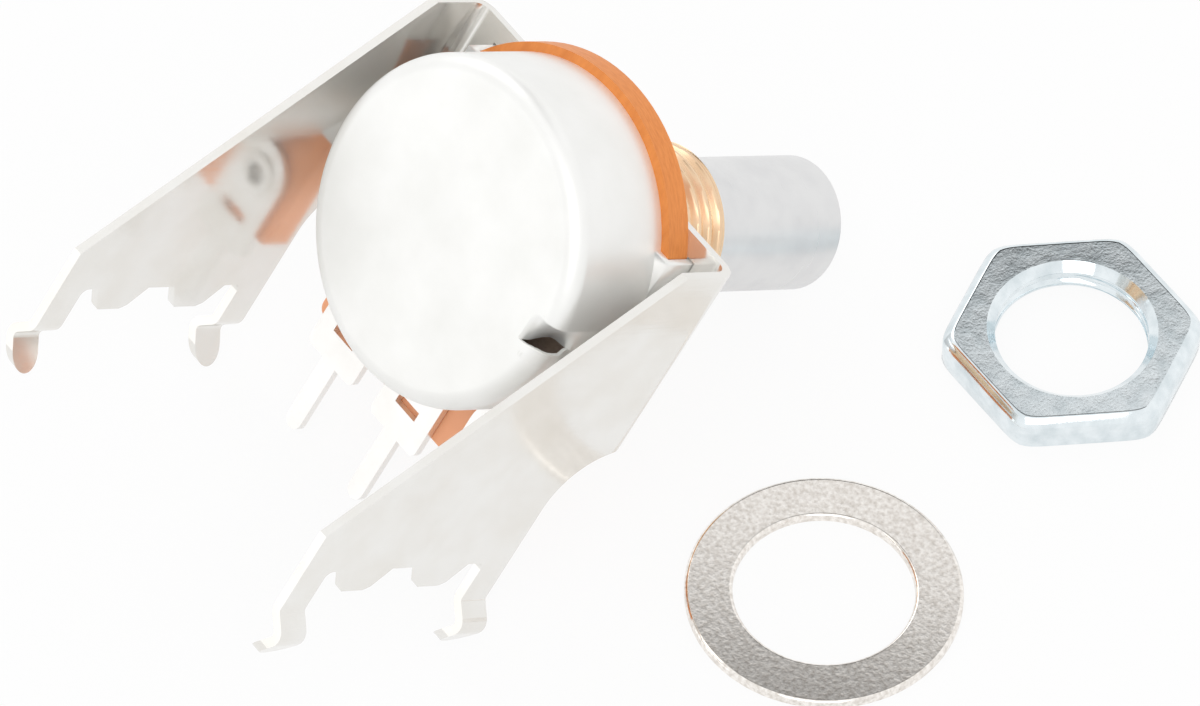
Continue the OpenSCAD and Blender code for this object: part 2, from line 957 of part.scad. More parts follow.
// One spring finger: it leaves the wiper's ring and bends forward to its track
module wiper_finger(r) {
    rise = wiper_room - print_t - wiper_gap - wiper_t;
    lap = wiper_t * rise / finger_len;
    translate([0, r + finger_w / 2, z_rotor])
        rotate([90, 0, 0])
            linear_extrude(finger_w)
                polygon([
                    [-finger_len - finger_root, 0],
                    [-finger_len, 0],
                    [0, rise],
                    [finger_tip, rise],
                    [finger_tip, rise + wiper_t],
                    [-lap, rise + wiper_t],
                    [-finger_len - lap, wiper_t],
                    [-finger_len - finger_root, wiper_t]
                ]);
}

module wiper_contact() {
    arm_x = -finger_len - finger_root;
    arm_end = track_r + (track_w + finger_w) / 2;
    color("goldenrod")
        lay_down() {
            translate([0, 0, z_rotor])
                linear_extrude(wiper_t)
                    difference() {
                        union() {
                            circle(ring_r);
                            translate([arm_x, arm_end / 2])
                                square([arm_w, arm_end / 2]);
                        }
                        circle(journal_r + wiper_hole_gap);
                    }
            wiper_finger(ring_r + ring_w / 2);
            wiper_finger(track_r + track_w / 2);
        }
}

// An open ring that snaps into the shaft's groove behind the bushing's flange
module retaining_ring() {
    color("darkslategray")
        lay_down()
            translate([0, 0, z_clip])
                linear_extrude(clip_t)
                    difference() {
                        circle(clip_in + clip_w);
                        circle(clip_in);
                        translate([-clip_in * 0.8, -3 * clip_in])
                            square([clip_in * 1.6, 3 * clip_in]);
                    }
}

// Section of the nut across two flats, with the bevel along the top edges
module nut_slab(turn) {
    half = nut_af / 2;
    rotate([0, 0, turn])
        rotate([90, 0, 0])
            translate([0, 0, -nut_af])
                linear_extrude(2 * nut_af)
                    polygon([
                        [-half, 0],
                        [half, 0],
                        [half, nut_h - nut_bevel],
                        [half - nut_bevel_w, nut_h],
                        [-half + nut_bevel_w, nut_h],
                        [-half, nut_h - nut_bevel]
                    ]);
}

module mounting_nut() {
    bore = thread_r - nut_thread;
    mouth = thread_r + nut_mouth;
    corner_r = nut_af / 2 / cos(30) - nut_round;
    color("lightsteelblue")
        on_floor(nut_x, nut_y)
            difference() {
                intersection() {
                    nut_slab(nut_turn + 30);
                    nut_slab(nut_turn + 90);
                    nut_slab(nut_turn + 150);
                    cylinder(r = corner_r, h = nut_h);
                }
                translate([0, 0, -cut])
                    cylinder(r = bore, h = nut_h + 2 * cut);
                translate([0, 0, nut_h - mouth + bore])
                    cylinder(r1 = bore, r2 = mouth + cut, h = mouth - bore + cut);
                translate([0, 0, -cut])
                    cylinder(r1 = mouth + cut, r2 = bore, h = mouth - bore + cut);
            }
}

module flat_washer() {
    color("darkkhaki")
        on_floor(washer_x, washer_y)
            difference() {
                cylinder(r = thread_r + washer_gap + washer_rim, h = washer_t);
                translate([0, 0, -cut])
                    cylinder(r = thread_r + washer_gap, h = washer_t + 2 * cut);
            }
}

bracket();
bushing();
rear_cover();
wafer();
resistive_track();
conductor_left();
conductor_middle();
conductor_right();
terminal_left();
terminal_middle();
terminal_right();
rivet_left();
rivet_middle();
rivet_right();
shaft();
rotor();
wiper_contact();
retaining_ring();
mounting_nut();
flat_washer();
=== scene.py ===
# %% [markdown]
# # A rotary potentiometer with its nut and washer
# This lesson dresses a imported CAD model: a small metal and phenolic control that lies on its
# pins and on the edge of its shaft. The CAD pieces give the places and the main sizes. Blender
# adds the finishes, the threads and the rolled rims that are too fine for the solids.

# %% Load the solids
import json
import math
import bpy
from mathutils import Matrix, Vector


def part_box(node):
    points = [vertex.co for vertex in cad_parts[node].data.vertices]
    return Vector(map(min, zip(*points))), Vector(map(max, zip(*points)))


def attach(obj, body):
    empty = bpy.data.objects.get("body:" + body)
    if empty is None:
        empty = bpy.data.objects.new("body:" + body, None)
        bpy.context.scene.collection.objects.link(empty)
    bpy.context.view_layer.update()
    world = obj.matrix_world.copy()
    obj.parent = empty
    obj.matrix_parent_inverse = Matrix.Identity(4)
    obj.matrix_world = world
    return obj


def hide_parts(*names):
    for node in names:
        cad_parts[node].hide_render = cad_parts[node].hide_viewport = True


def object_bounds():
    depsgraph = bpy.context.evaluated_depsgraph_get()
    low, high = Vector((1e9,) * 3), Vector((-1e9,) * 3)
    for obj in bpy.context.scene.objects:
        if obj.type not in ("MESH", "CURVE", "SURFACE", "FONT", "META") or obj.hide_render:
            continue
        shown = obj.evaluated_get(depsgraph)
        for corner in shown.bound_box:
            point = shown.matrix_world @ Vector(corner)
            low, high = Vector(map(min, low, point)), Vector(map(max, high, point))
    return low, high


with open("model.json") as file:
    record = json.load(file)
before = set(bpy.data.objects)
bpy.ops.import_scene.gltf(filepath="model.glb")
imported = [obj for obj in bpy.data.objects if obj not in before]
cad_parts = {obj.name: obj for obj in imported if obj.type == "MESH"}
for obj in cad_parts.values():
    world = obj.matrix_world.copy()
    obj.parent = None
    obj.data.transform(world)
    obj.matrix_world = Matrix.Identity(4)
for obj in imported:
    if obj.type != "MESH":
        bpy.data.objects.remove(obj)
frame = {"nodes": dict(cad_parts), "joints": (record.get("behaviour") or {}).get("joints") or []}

cad_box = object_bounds()
print("pieces:", len(frame["nodes"]), "CAD box:", cad_box)

# %% [markdown]
# ## The potentiometer's own axes
# Everything on the potentiometer is easiest to say along its shaft, but it lies tilted. The
# joint's axis is stored with the model, so a matrix built from it turns a place that is given
# along the shaft into a place in the scene. Sizes are in millimetres until that last step.

# %% The matrix from the shaft's axes to the scene
MM = 0.001
MM_PER_METRE = 1000
shaft_axis = Vector(frame["joints"][0]["axis"]).normalized()
side_axis = Vector((1, 0, 0))
height_axis = shaft_axis.cross(side_axis)
to_scene = Matrix((side_axis, height_axis, shaft_axis)).transposed().to_4x4()
floor_z = cad_box[0][2]
print("shaft points along", tuple(round(v, 3) for v in shaft_axis))
print("floor at", round(floor_z / MM, 2), "mm")

# %% [markdown]
# ## Writing shader maths as expressions
# A node tree is hard to read as a list of links. Here a small class wraps one socket and
# overloads the operators, so `1 - mask * 0.3` adds its own Math nodes. Every other node comes
# from one method that sets the node's options first and then its inputs. Materials, the world
# and Geometry Nodes all share it.

# %% A wrapped socket and a writer of nodes
class Value:
    """One socket of a node tree. Arithmetic with it adds Math nodes to the same tree."""

    def __init__(self, writer, socket):
        self.writer = writer
        self.socket = socket

    def math(self, operation, other=None, swapped=False):
        pair = (other, self) if swapped else (self, other)
        given = [side for side in pair if side is not None]
        return self.writer.add("ShaderNodeMath", {"operation": operation}, *given)

    def __add__(self, other):
        return self.math("ADD", other)

    def __radd__(self, other):
        return self.math("ADD", other, swapped=True)

    def __sub__(self, other):
        return self.math("SUBTRACT", other)

    def __rsub__(self, other):
        return self.math("SUBTRACT", other, swapped=True)

    def __mul__(self, other):
        return self.math("MULTIPLY", other)

    def __rmul__(self, other):
        return self.math("MULTIPLY", other, swapped=True)

    def __truediv__(self, other):
        return self.math("DIVIDE", other)

    def clamp(self):
        return self.writer.add("ShaderNodeClamp", {}, self)

    def mask(self, start, gain):
        """Nought up to the start, then rising by the gain until it reaches one."""
        return ((self - start) * gain).clamp()


class Writer:
    """Writes nodes into one tree."""

    def __init__(self, tree):
        self.tree = tree

    def add(self, kind, settings, *inputs, output=None, **named):
        """Sets a node's options, fills inputs by place or by name, and gives back one output."""
        node = self.tree.nodes.new(kind)
        for key, value in settings.items():
            setattr(node, key, value)
        slots = [s for s in node.inputs if s.enabled]
        filled = list(zip(slots, inputs))
        for key, value in named.items():
            label = key.replace("_", " ")
            filled.append((next(s for s in slots if s.name == label), value))
        for slot, value in filled:
            if isinstance(value, Value):
                self.tree.links.new(value.socket, slot)
            else:
                slot.default_value = value
        outputs = [s for s in node.outputs if s.enabled and output in (None, s.name)]
        return Value(self, outputs[0]) if outputs else None

print("writer of nodes ready")

# %% [markdown]
# ## One class for every finish
# A real finish is never one flat colour: plating clouds over, rolling leaves lines. Image textures
# could show that, but noise nodes need no files and stay sharp close up. They read the object's
# own coordinates in millimetres, so a scale of 1 gives spots about a millimetre wide.

# %% A finish and its colours
class Finish(Writer):
    """One material: constants go on the shader's own sockets, varying values are linked."""

    def __init__(self, name, **constants):
        self.material = bpy.data.materials.new(name)
        self.material.use_nodes = True
        super().__init__(self.material.node_tree)
        self.shader = self.tree.nodes["Principled BSDF"]
        for key, value in constants.items():
            self.shader.inputs[key.replace("_", " ")].default_value = value
        if "Base_Color" in constants:
            self.material.diffuse_color = constants["Base_Color"]

    def place(self):
        """Object coordinates in millimetres."""
        raw = self.add("ShaderNodeTexCoord", {}, output="Object")
        return self.add("ShaderNodeMapping", {}, raw, Scale=(MM_PER_METRE,) * 3)

    def along_shaft(self, scale=(1, 1, 1)):
        """The same, but turned so that Z runs along the shaft, which a rolled grain follows."""
        lean = math.pi / 2 - math.atan2(shaft_axis.z, shaft_axis.y)
        raw = self.add("ShaderNodeTexCoord", {}, output="Object")
        level = self.add("ShaderNodeMapping", {}, raw, Rotation=(lean, 0, 0))
        return self.add("ShaderNodeMapping", {}, level, Scale=tuple(MM_PER_METRE * s for s in scale))

    def noise(self, where, scale, detail, roughness=0.5):
        return self.add("ShaderNodeTexNoise", {}, where, Scale=scale, Detail=detail, Roughness=roughness)

    def blend(self, mask, low, high):
        return self.add("ShaderNodeMix", {"data_type": "RGBA"}, mask, low, high)

    def feed(self, **links):
        for key, value in links.items():
            self.tree.links.new(value.socket, self.shader.inputs[key.replace("_", " ")])

    def bump(self, height, strength, depth):
        """A bump whose depth is in millimetres."""
        bent = self.add("ShaderNodeBump", {}, Strength=strength, Distance=depth * MM, Height=height)
        self.feed(Normal=bent)


def linear(r, g, b):
    """A colour given on a 0 to 255 scale, as the linear value that a socket takes."""
    def straight(level):
        """The usual curve of screen colours, undone."""
        return level / 12.92 if level <= 0.04045 else ((level + 0.055) / 1.055) ** 2.4
    return (straight(r / 255), straight(g / 255), straight(b / 255), 1.0)

print("helpers for finishes ready")

# %% [markdown]
# ## The sheet metals
# The bracket is plated steel strip. It has a warm, faint rolling grain that runs along the strip,
# and cloudy patches where the plating took a little differently. A stretched noise gives the
# grain, and a soft one the clouds. The cover is the same kind of strip, drawn and paler.

# %% Plated bracket, bright cover and tinned terminals
def sheet_finish(name, base, cloud, rough, metal):
    finish = Finish(name, Base_Color=base, Metallic=metal, Roughness=rough)
    clouds = finish.noise(finish.place(), scale=0.35, detail=4.0)
    lines = finish.noise(finish.along_shaft((6, 6, 0.25)), scale=1.0, detail=2.0)
    spread = 0.06
    finish.feed(Base_Color=finish.blend(clouds.mask(0.35, 2.2), base, cloud),
                Roughness=rough + (clouds - 0.5) * spread + (lines - 0.5) * spread)
    finish.bump(lines + 0.4 * clouds, strength=0.05, depth=0.02)
    return finish.material

bracket_plate = sheet_finish("plated_strip", linear(240, 239, 236), linear(233, 230, 224), 0.12, 0.80)
cover_plate = sheet_finish("bright_drawn_cover", linear(248, 248, 246), linear(241, 241, 238), 0.40, 0.50)
terminal_tin = sheet_finish("tinned_terminal", linear(246, 245, 243), linear(238, 236, 232), 0.30, 0.90)
print("sheet finishes:", bracket_plate.name, cover_plate.name, terminal_tin.name)

# %% [markdown]
# ## Turned metals
# A lathe leaves rings round the axis. The shaft is ground smooth and grey, so its rings are
# nearly gone, while the bushing is copper-coloured brass and brighter. The distance along the
# shaft drives a fine noise, so the rings run round it whatever way the part lies.

# %% Ground shaft, brass bushing
def turned_finish(name, base, shade, rough, ring_strength):
    finish = Finish(name, Base_Color=base, Metallic=1.0, Roughness=rough)
    fine = finish.noise(finish.along_shaft((0.15, 0.15, 9.0)), scale=1.0, detail=2.0)
    stain = finish.noise(finish.place(), scale=0.6, detail=3.0)
    finish.feed(Base_Color=finish.blend(stain.mask(0.4, 2.0), base, shade),
                Roughness=rough + (fine - 0.5) * 0.12)
    finish.bump(fine, ring_strength, depth=0.02)
    return finish.material

shaft_metal = turned_finish("ground_shaft", linear(228, 228, 228), linear(217, 217, 218), 0.30, 0.06)
bushing_metal = turned_finish("copper_coloured_brass", linear(240, 210, 176), linear(228, 190, 150),
                              0.28, 0.05)
print("turned finishes:", shaft_metal.name, bushing_metal.name)

# %% [markdown]
# ## Phenolic paper, prints and mouldings
# The wafer is brown phenolic paper, pressed in layers and punched. The face is slightly glossy,
# with fine fibres. Its lower skirt is painted paler: a third colour comes in with the distance
# below the shaft, a painted sheen that stands in for the gloss and light on that part. The carbon
# track is matt black, the silver prints are matt and grey, and the rotor is a pale brown moulding.
# They hardly show, but an opened copy should still look right.

# %% Wafer, prints and rotor
def board_finish():
    finish = Finish("phenolic_paper", Roughness=0.42, IOR=1.45)
    fibres = finish.noise(finish.along_shaft((2.2, 0.7, 9.0)), scale=1.0, detail=5.0, roughness=0.6)
    layers = finish.noise(finish.along_shaft((0.1, 0.1, 11.0)), scale=1.0, detail=1.0)
    speckle = (fibres * 0.7 + layers * 0.3).mask(0.35, 2.4)
    brown = finish.blend(speckle, linear(240, 150, 74), linear(216, 124, 54))
    height = finish.add("ShaderNodeSeparateXYZ", {}, finish.along_shaft(), output="Y")
    # Painted sheen: the skirt below the shaft is painted paler, in place of its gloss and light.
    painted_sheen_from, painted_sheen_over = -5.0, 3.5
    painted_sheen_mask = ((painted_sheen_from - height) / painted_sheen_over).clamp()
    finish.feed(Base_Color=finish.blend(painted_sheen_mask, brown, linear(255, 180, 136)),
                Roughness=0.36 + fibres * 0.18)
    finish.bump(fibres + 0.5 * layers, strength=0.12, depth=0.03)
    return finish.material


def print_finish(name, base, speck, rough, metal):
    finish = Finish(name, Base_Color=base, Roughness=rough, Metallic=metal)
    grain = finish.noise(finish.place(), scale=7.0, detail=3.0)
    finish.feed(Base_Color=finish.blend(grain.mask(0.4, 3), base, speck))
    finish.bump(grain, strength=0.15, depth=0.01)
    return finish.material

wafer_board = board_finish()
carbon_ink = print_finish("carbon_ink", linear(38, 38, 40), linear(52, 52, 54), 0.62, 0.0)
silver_ink = print_finish("silver_ink", linear(206, 206, 202), linear(188, 188, 182), 0.5, 0.7)
rotor_moulding = print_finish("brown_moulding", linear(222, 198, 180), linear(208, 182, 162), 0.45, 0.0)
spring_bronze = print_finish("spring_bronze", linear(214, 170, 98), linear(196, 150, 84), 0.3, 1.0)
spring_steel = print_finish("spring_steel", linear(120, 120, 124), linear(96, 96, 100), 0.35, 1.0)
print("inner finishes made")

# %% [markdown]
# ## Nut and washer
# The nut is bright zinc over a rough-tumbled surface, bluish and almost a mirror. The washer is
# nickel plated and as bright, but a fine stamped grain makes it look satin. Both are one rule
# with two noises: a wave that bends the mirror image, and a finer grain on top of it.

# %% Bright zinc and satin nickel
def loose_finish(name, base, shade, rough, wave, grain, strength):
    finish = Finish(name, Base_Color=base, Metallic=1.0, Roughness=rough)
    slow = finish.noise(finish.place(), scale=wave, detail=3.0)
    fine = finish.noise(finish.place(), scale=grain, detail=2.0)
    finish.feed(Base_Color=finish.blend(slow.mask(0.35, 2.4), base, shade),
                Roughness=rough + (fine - 0.5) * 0.04)
    finish.bump(slow + 0.3 * fine, strength, depth=0.04)
    return finish.material

nut_zinc = loose_finish("bright_zinc", linear(236, 243, 246), linear(212, 222, 226),
                        rough=0.08, wave=1.2, grain=9.0, strength=0.07)
washer_nickel = loose_finish("satin_nickel", linear(252, 248, 243), linear(214, 207, 199),
                             rough=0.06, wave=4.5, grain=11.0, strength=0.020)
print("loose finishes:", nut_zinc.name, washer_nickel.name)

# %% [markdown]
# ## Dressing the CAD pieces
# Most pieces are shown as the solids that came with the model, so they only need their finish.
# A table of names does it, and a loop fills in what comes in a left, middle and right copy.

# %% Give each CAD piece its finish
finish_of = {
    "bracket": bracket_plate, "rear_cover": cover_plate, "bushing": bushing_metal, "shaft": shaft_metal,
    "wafer": wafer_board, "resistive_track": carbon_ink, "rotor": rotor_moulding,
    "wiper_contact": spring_bronze, "retaining_ring": spring_steel,
    "mounting_nut": nut_zinc, "flat_washer": washer_nickel,
}
for side in ("left", "middle", "right"):
    finish_of["conductor_" + side] = silver_ink
    finish_of["terminal_" + side] = terminal_tin
    finish_of["rivet_" + side] = terminal_tin
for name, piece in frame["nodes"].items():
    piece.data.materials.clear()
    piece.data.materials.append(finish_of[name])
print("finished CAD pieces:", len(frame["nodes"]))

# %% [markdown]
# ## Geometry Nodes from expressions
# A thread follows a rule: at each angle the groove has moved on by its share of the pitch. That is
# what Geometry Nodes are for. The same writer as for shaders notes the rule down, and the tree's
# inputs keep the sizes by name, so one rule, built as a tree for each, cuts the bushing's thread and the
# nut's.

# %% A small builder for geometry trees
class Recipe(Writer):
    """A geometry tree with a mesh input, named number inputs and one geometry output."""

    def __init__(self, name, **numbers):
        super().__init__(bpy.data.node_groups.new(name, "GeometryNodeTree"))
        self.numbers = {key.replace("_", " "): float(value) for key, value in numbers.items()}
        sockets = self.tree.interface
        sockets.new_socket("Geometry", in_out="INPUT", socket_type="NodeSocketGeometry")
        for key in self.numbers:
            sockets.new_socket(key, in_out="INPUT", socket_type="NodeSocketFloat")
        sockets.new_socket("Geometry", in_out="OUTPUT", socket_type="NodeSocketGeometry")
        self.entry = self.tree.nodes.new("NodeGroupInput")

    def input(self, key):
        return Value(self, next(s for s in self.entry.outputs if s.name == key))

    def close(self, geometry, material):
        real = self.add("GeometryNodeRealizeInstances", {}, geometry)
        dressed = self.add("GeometryNodeSetMaterial", {}, real, Material=material)
        self.tree.links.new(dressed.socket, self.tree.nodes.new("NodeGroupOutput").inputs[0])

    def bake(self, name, source=None):
        """Runs the tree once on a source mesh and returns the result as a plain mesh."""
        carrier = bpy.data.objects.new(name, source or bpy.data.meshes.new(name))
        bpy.context.scene.collection.objects.link(carrier)
        modifier = carrier.modifiers.new("recipe", "NODES")
        modifier.node_group = self.tree
        for item in self.tree.interface.items_tree:
            if item.in_out == "INPUT" and item.name in self.numbers:
                modifier[item.identifier] = self.numbers[item.name]
        depsgraph = bpy.context.evaluated_depsgraph_get()
        mesh = bpy.data.meshes.new_from_object(carrier.evaluated_get(depsgraph))
        carrier.modifiers.clear()
        bpy.data.objects.remove(carrier)
        print(name, "baked faces:", len(mesh.polygons))
        return mesh

print("geometry helpers ready")

# %% [markdown]
# ## The rule of a thread
# A flat grid is bent round the axis: one side becomes the angle, the other the height. The
# radius then moves in and out as a triangle wave of height and angle together, which is a
# helix. The groove fades out over the first and last half turn, as where a die runs on and off.
# Two numbers say how steep the wave's flanks are and how much of it is left flat at the crest.

# %% A threaded wall for the bushing and for the nut
TURN = 2 * math.pi
STEPS = 144
ROWS_PER_TURN = 14
FLANK_GAIN = 2.6
CREST_SHARE = 0.3
thread_pitch = 0.75

def threaded_wall(name, material, crest, groove, low, high):
    """A thread between two heights; the groove is measured outwards from the crest's radius."""
    rule = Recipe(name + "_rule", Crest_radius=crest, Groove=groove, Pitch=thread_pitch,
                  Low_end=low, High_end=high)
    pitch, bottom, top = (rule.input(key) for key in ("Pitch", "Low end", "High end"))
    rows = int((high - low) / thread_pitch * ROWS_PER_TURN) + 1
    grid = rule.add("GeometryNodeMeshGrid", {}, 1.0, 1.0, STEPS + 1, rows)
    place = rule.add("GeometryNodeInputPosition", {})
    around = rule.add("ShaderNodeSeparateXYZ", {}, place, output="X") + 0.5
    along = rule.add("ShaderNodeSeparateXYZ", {}, place, output="Y") + 0.5
    height = bottom + along * (top - bottom)
    phase = (height / pitch - around).math("FRACT")
    wave = ((phase - 0.5).math("ABSOLUTE") * FLANK_GAIN - CREST_SHARE).clamp()
    fade_low = ((height - bottom) / pitch * 2).math("MINIMUM", 1.0)
    fade_high = ((top - height) / pitch * 2).math("MINIMUM", 1.0)
    radius = rule.input("Crest radius") + rule.input("Groove") * wave * fade_low * fade_high
    angle = around * TURN
    across = radius * angle.math("COSINE")
    upwards = radius * angle.math("SINE")
    where = rule.add("ShaderNodeCombineXYZ", {}, across, upwards, height)
    bent = rule.add("GeometryNodeSetPosition", {}, grid, Position=where)
    rule.close(bent, material)
    return rule.bake(name)

print("rule of a thread ready, pitch", thread_pitch, "mm")

# %% [markdown]
# ## Turned shapes from rings of points
# A turned or stamped piece is a profile spun round its axis. A Screw modifier could spin it, but
# rings of points can also be hexagons, and they weld onto the baked thread. So each profile
# becomes a row of rings, and faces join each ring to the next.

# %% Skins from rings of points
import bmesh

SHARP_ANGLE = math.radians(38)
WELD_GAP = 0.0008

def ring(radius, height, steps=STEPS):
    """One ring of points; the radius is a number or a function of the angle."""
    reach = radius if callable(radius) else (lambda angle: radius)
    angles = [TURN * k / steps for k in range(steps)]
    return [(reach(a) * math.cos(a), reach(a) * math.sin(a), height) for a in angles]

def join_rings(work, rings, closed):
    """Makes faces from each ring to the next, and from the last to the first if closed."""
    made = [[work.verts.new(point) for point in points] for points in rings]
    following = made[1:] + made[:1] if closed else made[1:]
    for lower, upper in zip(made, following):
        for k in range(len(lower)):
            n = (k + 1) % len(lower)
            work.faces.new((lower[k], lower[n], upper[n], upper[k]))

def open_edges(work):
    return sum(1 for edge in work.edges if edge.is_boundary)

def skin(name, rings, walls, material, place, node, closed=False):
    """Joins rings into faces, welds on the baked walls and sets the piece in the scene."""
    work = bmesh.new()
    for wall in walls:
        work.from_mesh(wall)
    join_rings(work, rings, closed)
    bmesh.ops.remove_doubles(work, verts=work.verts, dist=WELD_GAP)
    bmesh.ops.recalc_face_normals(work, faces=work.faces)
    left_open = open_edges(work)
    mesh = bpy.data.meshes.new(name)
    work.to_mesh(mesh)
    work.free()
    mesh.transform(place @ Matrix.Scale(MM, 4))
    mesh.materials.clear()
    mesh.materials.append(material)
    mesh.shade_smooth()
    mesh.set_sharp_from_angle(angle=SHARP_ANGLE)
    piece = bpy.data.objects.new(name, mesh)
    bpy.context.scene.collection.objects.link(piece)
    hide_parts(node)
    print(name, "faces:", len(mesh.polygons), "open edges:", left_open)
    return piece

print("skin helpers ready")

# %% [markdown]
# ## The bushing
# The bushing is turned from brass: a bore, a neck that is staked in the bracket's plate, and an
# M8 thread of 0.75 mm pitch with a bevelled end. The CAD sleeve gives its radii. The thread is the
# baked wall, and the rest is a row of rings from the last groove round through the bore.

# %% Bushing with its thread
thread_r = 4.0
thread_depth = 0.40
bore_r = 3.04
bushing_end = 8.0
end_r = 3.65
mouth_bevel = 0.12
plate_back = -0.45
flange_back = -0.85
neck_r = 4.2
flange_r = 4.5
thread_low = 0.12
thread_high = bushing_end - 0.35

bushing_thread = threaded_wall("bushing_thread", bushing_metal, thread_r, -thread_depth,
                               thread_low, thread_high)
bushing_profile = [
    (thread_r, thread_high), (thread_r - 0.04, thread_high + 0.05), (end_r + 0.04, bushing_end - 0.03),
    (end_r, bushing_end), (bore_r + mouth_bevel, bushing_end), (bore_r, bushing_end - mouth_bevel),
    (bore_r, flange_back), (flange_r, flange_back), (flange_r, plate_back), (neck_r, plate_back),
    (neck_r, 0), (thread_r, 0), (thread_r, thread_low),
]
bushing = skin("threaded_bushing", [ring(r, z) for r, z in bushing_profile], [bushing_thread],
               bushing_metal, to_scene, "bushing")
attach(bushing, "housing")

# %% [markdown]
# ## The nut
# A hexagon with rounded corners is a circle whose radius depends on the angle: the distance to
# the nearest flat, cut off where the tumbling has rounded the corner. The top edge is bevelled all
# round, both mouths of the bore are countersunk, and the bore carries the same thread, inside out.
# The ring just inside the bevel keeps smooth shading from bending the flat top's reflection.

# %% Nut with rounded corners and its inner thread
nut_low, nut_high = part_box("mounting_nut")
nut_middle = [(a + b) / 2 for a, b in zip(nut_low, nut_high)]
nut_h = (nut_high[2] - nut_low[2]) / MM
nut_across_flats = 11.0
nut_crest = 3.64
nut_groove = 0.34
nut_mouth = 4.05
countersink = nut_mouth - nut_crest
FLAT_AT = math.radians(30)
SIXTH = TURN / 6
CORNER_SOFTNESS = 9

def hexagon(inset, corner):
    """Radius of a hexagon at an angle, with its corners rounded off at the corner's radius."""
    def reach(angle):
        off = (angle - FLAT_AT + SIXTH / 2) % SIXTH - SIXTH / 2
        flat = (nut_across_flats / 2 - inset) / math.cos(off)
        limit = corner - inset
        soft = math.exp(-flat * CORNER_SOFTNESS) + math.exp(-limit * CORNER_SOFTNESS)
        return -math.log(soft) / CORNER_SOFTNESS
    return reach

outside = [
    (hexagon(0.49, 6.11), nut_h), (hexagon(0.44, 6.12), nut_h), (hexagon(0.36, 6.14), nut_h - 0.02),
    (hexagon(0.06, 6.15), nut_h - 0.34), (hexagon(0.0, 6.15), nut_h - 0.44), (hexagon(0.0, 6.15), 0.10),
    (hexagon(0.03, 6.15), 0.03), (hexagon(0.10, 6.15), 0.0),
]
nut_profile = [(nut_crest, nut_h - countersink), (nut_mouth, nut_h), (nut_mouth + 0.06, nut_h)]
nut_profile += outside + [(nut_mouth, 0.0), (nut_crest, countersink)]
nut_place = Matrix.Translation((nut_middle[0], nut_middle[1], nut_low[2]))
nut_thread = threaded_wall("nut_thread", nut_zinc, nut_crest, nut_groove, countersink, nut_h - countersink)
nut = skin("threaded_nut", [ring(r, z) for r, z in nut_profile], [nut_thread],
           nut_zinc, nut_place, "mounting_nut")
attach(nut, "housing")

# %% [markdown]
# ## The washer
# A stamped washer isn't a sharp disc: the punch draws its upper edges down a little and leaves
# the lower ones crisp. A closed row of rings gives that section, and the centre and both radii
# come from the CAD piece's box and from the thread that it passes. Here too a ring inside each
# drawn edge keeps the flat top flat.

# %% Washer with drawn edges
washer_low, washer_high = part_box("flat_washer")
washer_middle = [(a + b) / 2 for a, b in zip(washer_low, washer_high)]
washer_r = (washer_high[0] - washer_low[0]) / 2 / MM
washer_t = (washer_high[2] - washer_low[2]) / MM
hole_r = thread_r + 0.25
washer_profile = [
    (hole_r, 0.02), (hole_r, washer_t - 0.12), (hole_r + 0.04, washer_t - 0.04), (hole_r + 0.12, washer_t),
    (hole_r + 0.16, washer_t), (washer_r - 0.18, washer_t),
    (washer_r - 0.14, washer_t), (washer_r - 0.05, washer_t - 0.04), (washer_r, washer_t - 0.13),
    (washer_r, 0.02), (washer_r - 0.02, 0.0), (hole_r + 0.02, 0.0),
]
washer_place = Matrix.Translation((washer_middle[0], washer_middle[1], washer_low[2]))
washer = skin("stamped_washer", [ring(r, z) for r, z in washer_profile], [],
              washer_nickel, washer_place, "flat_washer", closed=True)
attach(washer, "housing")

# %% [markdown]
# ## Three eyelets on one line
# The terminals are held by hollow rivets with rolled rims. They are alike and evenly spaced, so
# one is spun from its section, which runs through the bore, round the rolled rim at the back,
# along the shank and round the head at the front.

# %% Section of one eyelet
rivet_pitch = (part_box("rivet_middle")[0][0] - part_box("rivet_left")[0][0]) / MM
shank_r = 0.75
rivet_bore = 0.45
rim_r = 1.1
rim_t = 0.25
head_back = -2.25
wafer_front = -0.45
rivet_drop = 8.6
rivet_steps = 40
eyelet_profile = [
    (rivet_bore, wafer_front + 0.02), (rivet_bore, head_back - 0.02), (rivet_bore + 0.06, head_back - 0.14),
    (rivet_bore + 0.20, head_back - rim_t + 0.02), (rivet_bore + 0.32, head_back - rim_t),
    (rim_r - 0.16, head_back - rim_t + 0.04), (rim_r - 0.03, head_back - 0.12), (rim_r, head_back),
    (shank_r, head_back), (shank_r, wafer_front), (rim_r, wafer_front), (rim_r, wafer_front + 0.14),
    (rim_r - 0.10, wafer_front + rim_t), (rivet_bore + 0.12, wafer_front + rim_t),
    (rivet_bore + 0.02, wafer_front + 0.16),
]
work = bmesh.new()
join_rings(work, [ring(r, z, rivet_steps) for r, z in eyelet_profile], closed=True)
bmesh.ops.recalc_face_normals(work, faces=work.faces)
one_rivet = bpy.data.meshes.new("one_rivet")
work.to_mesh(one_rivet)
work.free()
print("one eyelet, faces:", len(one_rivet.polygons))

# %% [markdown]
# ## Copies along the line
# Geometry Nodes place the eyelet at three points of a line. Three typed places would do as well,
# but a line with a named pitch keeps the spacing in one number. Realize Instances turns the
# copies into real faces, because an exported model keeps no instances.

